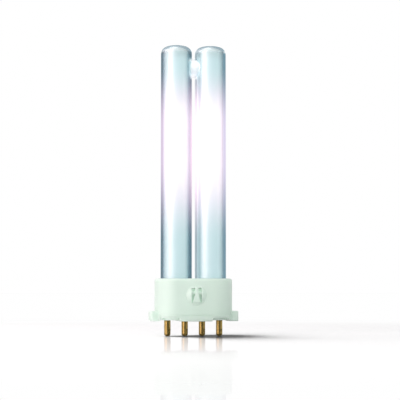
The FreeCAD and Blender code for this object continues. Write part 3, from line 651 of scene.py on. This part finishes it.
def coat_finish(tube):
    """Fine white powder inside the glass, with its light strongest at the middle of the limbs."""
    material, tree, output = new_material("phosphor_coat")
    powder = object_noise(tree, 900.0, detail=6.0)
    cloud = object_noise(tree, 90.0)
    ends = [tube.end_glow * c for c in tube.end_colour]
    half_lit = opaque([0.5 * tube.glow * g + e for g, e in zip(tube.half_glow_colour, ends)])
    fully_lit = opaque([tube.glow * g + e for g, e in zip(tube.glow_colour, ends)])
    limb_light = ramp(tree, glow_share(tree, tube), (0.0, opaque(ends)), (0.5, half_lit), (1.0, fully_lit))
    dome_foot, dome_top = TUBE_HIGH.z - tube.dome_shade, TUBE_HIGH.z - tube.wall
    under_dome = ease(tree, object_place(tree)["Z"], dome_foot, dome_top, 1.0, 0.0)
    limb_light = mix_colours(tree, under_dome, BLACK, limb_light)
    light = mix_colours(tree, bridge_share(tree, tube), limb_light, opaque(tube.bridge_glow))
    principled(
        tree, output,
        Base_Color=mottled(tree, cloud, 0.35, 0.65, tube.coat_colour, 0.96),
        Roughness=0.9, Specular_IOR_Level=0.1, Normal=bump(tree, powder, 0.02 * MM),
        Emission_Color=light, Emission_Strength=1.0,
    )
    return material


def plastic_finish(base):
    """Moulded thermoplastic with a fine spark-eroded grain, faint flow marks and painted light in its slots and
    creases.
    """
    material, tree, output = new_material("base_plastic")
    grain = object_noise(tree, 2200.0, detail=4.0)
    flow = object_noise(tree, 110.0, stretch=(1.0, 1.0, 0.35))
    shade = mottled(tree, flow, 0.3, 0.7, base.plastic_colour, 0.965)
    smoothest, roughest = base.plastic_roughness - 0.05, base.plastic_roughness + 0.06
    facing_out = add(tree, "ShaderNodeNewGeometry").outputs["Normal"]
    openness = add(
        tree, "ShaderNodeAmbientOcclusion", into={"Distance": base.painted_slot_light_reach, "Normal": facing_out}, samples=8
    ).outputs["AO"]
    principled(
        tree, output,
        Base_Color=shade, Roughness=ease(tree, grain, 0.3, 0.7, smoothest, roughest),
        Specular_IOR_Level=0.45, Normal=bump(tree, grain, 0.012 * MM),
        # Painted light: where nearby plastic hides the sky, the plastic gives off light in its own colour
        Emission_Color=shade, Emission_Strength=ease(tree, openness, 0.25, 0.8, base.painted_slot_light, 0.0),
        Subsurface_Weight=base.plastic_depth_share, Subsurface_Radius=(1.0, 1.0, 1.0),
        Subsurface_Scale=base.plastic_depth,
    )
    return material


def cement_finish(base):
    """Hard basing cement with grains and small pits."""
    material, tree, output = new_material("cement")
    grains = object_noise(tree, 1400.0, detail=8.0, roughness=0.7)
    pits = object_noise(tree, 500.0)
    dark = opaque([0.8 * c for c in base.cement_colour])
    principled(
        tree, output,
        Base_Color=mix_colours(tree, ease(tree, grains, 0.35, 0.65), dark, opaque(base.cement_colour)),
        Roughness=0.85, Specular_IOR_Level=0.3,
        Normal=bump(tree, math_node(tree, "ADD", grains, pits), 0.06 * MM),
    )
    return material


def metal_finish(name, metal_colour, roughness, draw_scale):
    """Drawn metal with fine lines along the draw and a slight tarnish."""
    material, tree, output = new_material(name)
    lines = object_noise(tree, draw_scale, detail=4.0, stretch=(1.0, 1.0, 0.03))
    tarnish = object_noise(tree, 700.0, detail=4.0)
    principled(
        tree, output,
        Base_Color=mottled(tree, tarnish, 0.42, 0.7, metal_colour, 0.78), Metallic=1.0,
        Roughness=ease(tree, lines, 0.3, 0.7, roughness - 0.06, roughness + 0.08),
        Normal=bump(tree, lines, 0.006 * MM),
    )
    return material


def seen_directly(tree):
    """One for rays from the camera and for those that metal and glass send on, otherwise nought."""
    ray = add(tree, "ShaderNodeLightPath").outputs
    sent_on = math_node(tree, "MAXIMUM", ray["Is Glossy Ray"], ray["Is Transmission Ray"])
    return math_node(tree, "MAXIMUM", ray["Is Camera Ray"], sent_on)


def painted_dark_reflection_share(tree, place, distance):
    """The share of a painted dark reflection on the floor in front of the lamp, which only glossy surfaces show, in
    place of a dark card.
    """
    forwards = math_node(tree, "MULTIPLY", place["Y"], -1.0)
    turn = math_node(tree, "ARCTAN2", place["X"], forwards)
    left = ease(tree, turn, *map(math.radians, PAINTED_DARK_LEFT))
    right = ease(tree, turn, *map(math.radians, PAINTED_DARK_RIGHT), 1.0, 0.0)
    inner = ease(tree, distance, *PAINTED_DARK_INNER, 0.0, PAINTED_DARK_SHARE)
    return product(tree, left, right, inner, add(tree, "ShaderNodeLightPath").outputs["Is Glossy Ray"])


def painted_floor_shadow(tree, stage, place):
    """Painted shadow: the share of light that the floor's colour keeps, least where the lamp hides most of the sky.
    """
    openness = 1.0
    for direction in PAINTED_SHADOW_DIRECTIONS:
        towards = add(tree, "ShaderNodeCombineXYZ", *direction).outputs[0]
        sky = add(
            tree, "ShaderNodeAmbientOcclusion", into={"Distance": stage.painted_shadow_reach, "Normal": towards}, samples=24
        ).outputs["AO"]
        openness = math_node(tree, "MINIMUM", openness, sky)
    lit_side = ease(tree, place["X"], *LIT_SIDE, LIT_SIDE_OPENNESS, 0.0)
    light_left_by_painted_shadow = ease(tree, math_node(tree, "ADD", openness, lit_side), *SHADOW_OPENNESS, DEEPEST_SHADOW, 1.0)
    glossy = add(tree, "ShaderNodeLightPath").outputs["Is Glossy Ray"]
    in_gloss = math_node(tree, "MULTIPLY", glossy, GLOSSY_LEAST)
    return math_node(tree, "MAXIMUM", light_left_by_painted_shadow, in_gloss)


def floor_finish(stage):
    """Polished white that keeps the lamp's cast shadow and a painted shadow, shows glossy surfaces a painted dark
    reflection, fades into the surround and is clear from below.
    """
    material, tree, output = new_material("white_floor")
    place = object_place(tree)
    coordinates = add(tree, "ShaderNodeTexCoord").outputs["Object"]
    distance = add(tree, "ShaderNodeVectorMath", coordinates, operation="LENGTH").outputs["Value"]
    light_left_by_painted_shadow = painted_floor_shadow(tree, stage, place)
    # Painted shadow: the floor's white is darkened by the share of light that the painted shadow leaves
    white = mix_colours(tree, light_left_by_painted_shadow, BLACK, (0.98, 0.98, 0.98, 1.0))

    matte = add(tree, "ShaderNodeBsdfDiffuse", white).outputs[0]
    lift = product(tree, light_left_by_painted_shadow, stage.floor_lift, seen_directly(tree))
    lifting = add(tree, "ShaderNodeEmission", WHITE, lift).outputs[0]
    near = add(tree, "ShaderNodeAddShader", matte, lifting).outputs[0]
    far = ease(tree, distance, stage.floor_reach, 3.0 * stage.floor_reach)
    far_and_seen = product(tree, far, seen_directly(tree))
    plain = add(tree, "ShaderNodeEmission", WHITE, 1.0).outputs[0]
    ground = add(tree, "ShaderNodeMixShader", far_and_seen, near, plain).outputs[0]

    mirror = add(tree, "ShaderNodeBsdfAnisotropic", into={"Color": white, "Roughness": 0.03}).outputs[0]
    shine = ease(tree, distance, 10.0 * MM, 2.0 * stage.floor_reach, stage.floor_shine, stage.far_shine)
    facing = add(tree, "ShaderNodeLayerWeight", 0.5).outputs["Facing"]
    grazing = ease(tree, facing, *GRAZING, LEAST_MIRRORED, 1.0)
    polished = add(tree, "ShaderNodeMixShader", product(tree, shine, grazing), ground, mirror).outputs[0]

    # Painted dark reflection: glossy rays see this dark floor in front of the lamp
    dark = add(tree, "ShaderNodeBsdfDiffuse", (0.02, 0.02, 0.02, 1.0)).outputs[0]
    card = painted_dark_reflection_share(tree, place, distance)
    from_above = add(tree, "ShaderNodeMixShader", card, polished, dark).outputs[0]
    from_below = add(tree, "ShaderNodeNewGeometry").outputs["Backfacing"]
    clear = add(tree, "ShaderNodeBsdfTransparent", WHITE).outputs[0]
    surface = add(tree, "ShaderNodeMixShader", from_below, from_above, clear).outputs[0]
    tree.links.new(surface, output.inputs["Surface"])
    return material


# Operators, one for each piece or group of like pieces


class LAMP_OT_phosphor_coat(bpy.types.Operator):
    """Make the phosphor coat inside both limbs and the bridge"""

    bl_idname = "lamp.phosphor_coat"
    bl_label = "Phosphor Coat"

    def execute(self, context):
        tube = context.scene.lamp_tube
        limb_radius = max(TUBE_HIGH.y, -TUBE_LOW.y)
        limb_x = TUBE_HIGH.x - limb_radius
        finish = coat_finish(tube)
        tree = turned_tree()
        points = coat_outline(tube, limb_radius)
        limbs = [
            new_object("limb", turned_mesh("limb", tree, points, finish, Segments=tube.segments, Place=(x, 0.0, 0.0)))
            for x in (-limb_x, limb_x)
        ]
        coat = limbs[0]
        coat.name = "phosphor_coat"
        bridge_radius = tube.bridge_diameter / 2 - tube.wall
        reach = limb_x / 2
        outline = [(0.0, -reach), (bridge_radius, -reach), (bridge_radius, reach), (0.0, reach)]
        tunnel = turned_mesh("tunnel", tree, outline, finish, Segments=BRIDGE_SEGMENTS)
        for vertex in tunnel.vertices:
            x, y, z = vertex.co
            vertex.co = Vector((z, y, TUBE_HIGH.z - tube.bridge_below_top - x))
        close_outwards(tunnel)
        join_solids(coat, limbs[1])
        join_solids(coat, new_object("tunnel", tunnel))
        close_outwards(coat.data)
        coat.data.name = "phosphor_coat"
        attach(coat, "root")
        dress("discharge_tube", clear_wall_finish(tube))
        return {"FINISHED"}


class LAMP_OT_contact_pins(bpy.types.Operator):
    """Make the four drawn and crimped contact pins"""

    bl_idname = "lamp.contact_pins"
    bl_label = "Contact Pins"

    def execute(self, context):
        pins = context.scene.lamp_pins
        finish = metal_finish("pin_brass", pins.brass_colour, roughness=0.16, draw_scale=2500.0)
        tree = turned_tree()
        radius = pins.diameter / 2
        tip, top = PIN_LOW.z, PIN_HIGH.z
        seat = top - pins.flange_thickness
        flange = (PIN_HIGH.x - PIN_LOW.x) / 2
        shank = pins.shank_diameter / 2
        bore = pins.bore_diameter / 2
        bore_end = tip + pins.tip_thickness
        round_from = tip + pins.tip_rounding
        crimp_from = tip + pins.crimp_above_tip - DIMPLE_REACH * pins.crimp_radius
        crimp_to = tip + pins.crimp_above_tip + DIMPLE_REACH * pins.crimp_radius
        rows = [
            (radius, crimp_from + (crimp_to - crimp_from) * n / DIMPLE_ROWS)
            for n in range(DIMPLE_ROWS + 1)
        ]
        points = (
            [(0.0, tip)]
            + arc((radius - pins.tip_rounding, round_from), pins.tip_rounding, -90.0, 0.0, TIP_ROWS)
            + rows
            + [(radius, pins.shank_height), (shank, pins.shank_height), (shank, seat)]
            + [(flange, seat), (flange, top), (bore, top), (bore, bore_end), (0.0, bore_end)]
        )
        middle = radius - pins.crimp_depth + pins.crimp_radius
        punch = (middle * math.cos(pins.crimp_turn), middle * math.sin(pins.crimp_turn), tip + pins.crimp_above_tip)
        for node in PIN_NODES:
            low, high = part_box(node)
            place = ((low.x + high.x) / 2, 0.0, 0.0)
            mesh = turned_mesh(
                f"drawn_{node}", tree, points, finish,
                Segments=pins.segments, Place=place, Dimple_Place=punch, Dimple_Radius=pins.crimp_radius,
            )
            pin = new_object(f"drawn_{node}", mesh)
            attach(pin, "root")
            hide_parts(node)
        return {"FINISHED"}


class LAMP_OT_moulded_base(bpy.types.Operator):
    """Give the housing and its cover their moulded finish"""

    bl_idname = "lamp.moulded_base"
    bl_label = "Moulded Base"

    def execute(self, context):
        finish = plastic_finish(context.scene.lamp_base)
        dress("base_housing", finish)
        dress("bottom_cover", finish)
        return {"FINISHED"}


class LAMP_OT_inner_parts(bpy.types.Operator):
    """Give the cement rings and the lead wires their finish"""

    bl_idname = "lamp.inner_parts"
    bl_label = "Cement and Wires"

    def execute(self, context):
        base = context.scene.lamp_base
        cement = cement_finish(base)
        for node in CEMENT_NODES:
            dress(node, cement)
        wire = metal_finish("nickel_wire", base.wire_colour, roughness=0.3, draw_scale=6000.0)
        for node in WIRE_NODES:
            dress(node, wire)
        return {"FINISHED"}


def put_light(light, stage):
    """Makes a light and puts it in its direction, measured as the camera's is."""
    data = bpy.data.lights.new(light.name, "AREA")
    data.shape = "RECTANGLE"
    data.size = light.width
    data.size_y = light.height
    data.energy = getattr(stage, light.power)
    data.color = getattr(stage, light.shade)
    lamp = new_object(light.name, data)
    turn, rise = math.radians(light.azimuth), math.radians(light.elevation)
    towards = Vector((math.sin(turn) * math.cos(rise), -math.cos(turn) * math.cos(rise), math.sin(rise)))
    middle = Vector((0.0, 0.0, TUBE_HIGH.z / 2))
    lamp.location = middle + light.distance * towards
    lamp.rotation_euler = (middle - lamp.location).to_track_quat("-Z", "Y").to_euler()
    if light.switched_off:
        setattr(lamp, light.switched_off, False)


class LAMP_OT_stage(bpy.types.Operator):
    """Set up the white floor, the lights and the camera"""

    bl_idname = "lamp.stage"
    bl_label = "Stage"

    def execute(self, context):
        scene = context.scene
        stage = scene.lamp_stage
        scene.view_settings.view_transform = "Standard"

        floor_mesh = bpy.data.meshes.new("white_floor")
        half, z = FLOOR_HALF_SIZE, PIN_LOW.z
        corners = [(-half, -half, z), (half, -half, z), (half, half, z), (-half, half, z)]
        floor_mesh.from_pydata(corners, [], [(0, 1, 2, 3)])
        floor_mesh.materials.append(floor_finish(stage))
        new_object("white_floor", floor_mesh)

        world = bpy.data.worlds.new("white_surround")
        world.use_nodes = True
        tree = world.node_tree
        tree.nodes.clear()
        brightness = ease(tree, seen_directly(tree), 0.0, 1.0, stage.fill, 1.0)
        background = add(tree, "ShaderNodeBackground", WHITE, brightness).outputs[0]
        add(tree, "ShaderNodeOutputWorld", background)
        scene.world = world

        for light in LIGHTS:
            put_light(light, stage)

        camera_data = bpy.data.cameras.new("camera")
        camera = new_object("camera", camera_data)
        azimuth = stage.view_azimuth
        ahead = Vector((-math.sin(azimuth), math.cos(azimuth), 0.0))
        right = Vector((math.cos(azimuth), math.sin(azimuth), 0.0))
        up = Vector((0.0, 0.0, 1.0))
        camera.location = -stage.view_distance * ahead + stage.view_height * up
        aim = stage.aim_right * right + stage.aim_height * up
        line = aim - camera.location
        camera.rotation_euler = line.to_track_quat("-Z", "Y").to_euler()
        camera_data.sensor_width = 36.0
        camera_data.lens = camera_data.sensor_width * line.length / stage.picture_width
        camera_data.clip_start = 0.01
        scene.camera = camera
        return {"FINISHED"}


OPERATORS = (LAMP_OT_phosphor_coat, LAMP_OT_contact_pins, LAMP_OT_moulded_base, LAMP_OT_inner_parts, LAMP_OT_stage)


class LAMP_PT_pieces(bpy.types.Panel):
    """Buttons for the pieces and the stage of the lamp"""

    bl_idname = "LAMP_PT_pieces"
    bl_label = "Compact Fluorescent Lamp"
    bl_space_type = "VIEW_3D"
    bl_region_type = "UI"
    bl_category = "Lamp"

    def draw(self, context):
        for operator in OPERATORS:
            self.layout.operator(operator.bl_idname, text=operator.bl_label)


def register():
    for group in (*GROUPS.values(), *OPERATORS, LAMP_PT_pieces):
        bpy.utils.register_class(group)
    for name, group in GROUPS.items():
        setattr(bpy.types.Scene, name, PointerProperty(type=group))


def unregister():
    for name in GROUPS:
        delattr(bpy.types.Scene, name)
    for group in reversed((*GROUPS.values(), *OPERATORS, LAMP_PT_pieces)):
        bpy.utils.unregister_class(group)


def main():
    register()
    bpy.ops.lamp.phosphor_coat()
    bpy.ops.lamp.contact_pins()
    bpy.ops.lamp.moulded_base()
    bpy.ops.lamp.inner_parts()
    bpy.ops.lamp.stage()


if __name__ == "__main__":
    main()
